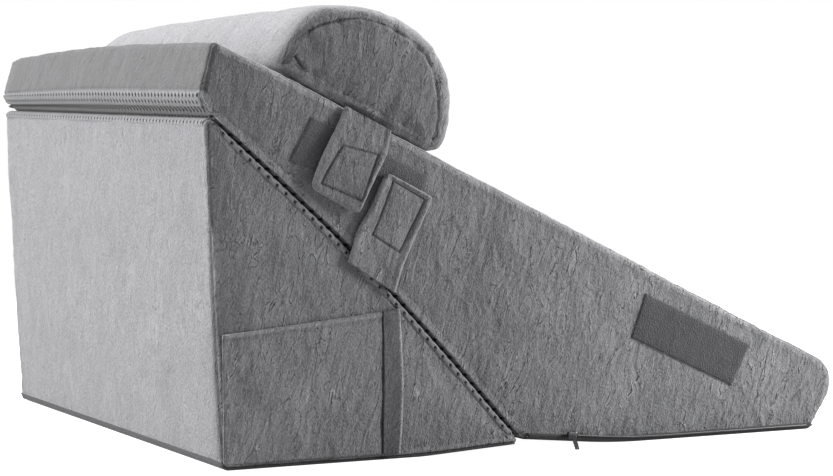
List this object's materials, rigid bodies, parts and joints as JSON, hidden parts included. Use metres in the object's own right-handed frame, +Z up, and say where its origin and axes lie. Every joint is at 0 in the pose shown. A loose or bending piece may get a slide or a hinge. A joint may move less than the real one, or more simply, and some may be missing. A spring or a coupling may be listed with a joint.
{
  "type": "orthopedic wedge pillow set",
  "caption": "Grey plush wedge pillow set: a steep lower wedge carries a long sloping wedge, with a half-moon head bolster held by straps.",
  "frame": {"origin": "on the surface that the set stands on, under the middle of the whole set's box", "axes": "+X from the upright back towards the low nose, +Y from the side with the straps towards the plain side, +Z up"},
  "size_m": [0.7181, 0.6413, 0.4461],
  "materials": {
    "plush": "short-pile plush, matt",
    "perforated_cloth": "smooth perforated knit, matt",
    "base_cloth": "dark non-slip base cloth, matt",
    "loop_tape": "dense loop tape, matt",
    "zip_tape": "black nylon coil",
    "zip_metal": "dark lacquered metal, satin"
  },
  "bodies": {
    "root": {"lower_wedge": "plush", "lower_slope_panel": "perforated_cloth", "lower_base_panel": "base_cloth", "upper_wedge": "plush", "upper_under_panel": "perforated_cloth", "upper_base_panel": "base_cloth", "head_bolster": "plush", "bolster_strap": "plush", "link_strap": "plush", "rear_loop_patch": "loop_tape", "front_loop_patch": "loop_tape", "pocket_panel": "plush", "pocket_gusset": "plush", "zip_coil": "zip_tape", "zip_slider": "zip_metal", "zip_puller": "zip_metal"}
  },
  "joints": []
}
